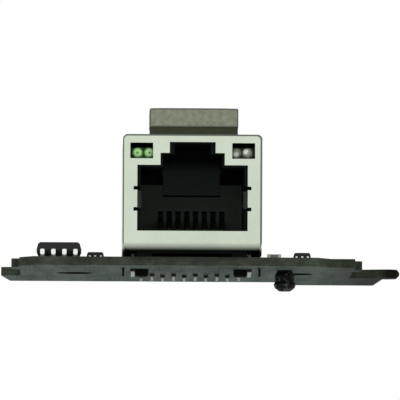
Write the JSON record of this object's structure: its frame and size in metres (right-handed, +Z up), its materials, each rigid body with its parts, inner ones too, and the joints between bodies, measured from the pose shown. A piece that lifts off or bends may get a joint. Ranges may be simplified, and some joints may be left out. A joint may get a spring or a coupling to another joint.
{
  "type": "ethernet adapter card",
  "caption": "Small printed-circuit card with a shielded network jack over its front edge, a cloth grounding pad on the jack, mounting holes, a support foot and a plated rear tongue.",
  "frame": {"origin": "midway between the two mounting holes, on the underside of the board", "axes": "+X to the right of someone who faces the port, +Y from the port to the rear, +Z up off the board"},
  "size_m": [0.0471, 0.0433, 0.0206],
  "materials": {
    "board_mask": "dark green-grey solder mask over glass laminate, semi-gloss",
    "gold_plating": "hard gold plating",
    "tin_sheet": "bright tin-plated sheet, satin",
    "black_moulding": "moulded glass-filled nylon, matte",
    "comb_moulding": "moulded nylon, matte",
    "contact_wire": "gold-flashed phosphor bronze wire",
    "carrier_laminate": "green laminate",
    "ferrite": "sintered ferrite",
    "magnet_wire": "enamelled copper wire",
    "tinned_lead": "matte tin plating",
    "green_lens": "green-tinted epoxy",
    "clear_lens": "water-clear epoxy",
    "conductive_cloth": "metallised woven cloth over foam",
    "adhesive_base": "dark conductive adhesive foam",
    "chip_mould": "black moulding compound",
    "capacitor_ceramic": "fired ceramic with tinned ends",
    "resistor_ceramic": "black glaze on alumina with tinned ends",
    "crystal_ceramic": "dark ceramic",
    "crystal_metal": "plated lid, satin",
    "foot_rubber": "black rubber"
  },
  "bodies": {
    "root": {"board": "board_mask", "capacitor_1": "capacitor_ceramic", "capacitor_2": "capacitor_ceramic", "capacitor_3": "capacitor_ceramic", "capacitor_4": "capacitor_ceramic", "capacitor_5": "capacitor_ceramic", "contact_1": "contact_wire", "contact_2": "contact_wire", "contact_3": "contact_wire", "contact_4": "contact_wire", "contact_5": "contact_wire", "contact_6": "contact_wire", "contact_7": "contact_wire", "contact_8": "contact_wire", "contact_insert": "comb_moulding", "controller_chip": "chip_mould", "controller_pads": "tinned_lead", "core_winding_1": "magnet_wire", "core_winding_2": "magnet_wire", "core_winding_3": "magnet_wire", "core_winding_4": "magnet_wire", "crystal_base": "crystal_ceramic", "crystal_lid": "crystal_metal", "edge_contacts_top": "gold_plating", "flash_chip": "chip_mould", "flash_leads": "tinned_lead", "gasket_adhesive": "adhesive_base", "grounding_gasket": "conductive_cloth", "inductor_terminals": "tinned_lead", "jack_housing": "black_moulding", "jack_rear_cover": "tin_sheet", "jack_shield": "tin_sheet", "led_left": "green_lens", "led_left_leads": "tinned_lead", "led_right": "clear_lens", "led_right_leads": "tinned_lead", "line_guard_left": "chip_mould", "line_guard_left_leads": "tinned_lead", "line_guard_right": "chip_mould", "line_guard_right_leads": "tinned_lead", "magnetics_board": "carrier_laminate", "power_inductor": "ferrite", "regulator_chip": "chip_mould", "regulator_leads": "tinned_lead", "resistor_1": "resistor_ceramic", "resistor_2": "resistor_ceramic", "resistor_3": "resistor_ceramic", "resistor_4": "resistor_ceramic", "signal_pins": "tinned_lead", "support_foot": "foot_rubber", "transformer_core_1": "ferrite", "transformer_core_2": "ferrite", "transformer_core_3": "ferrite", "transformer_core_4": "ferrite"}
  },
  "joints": []
}
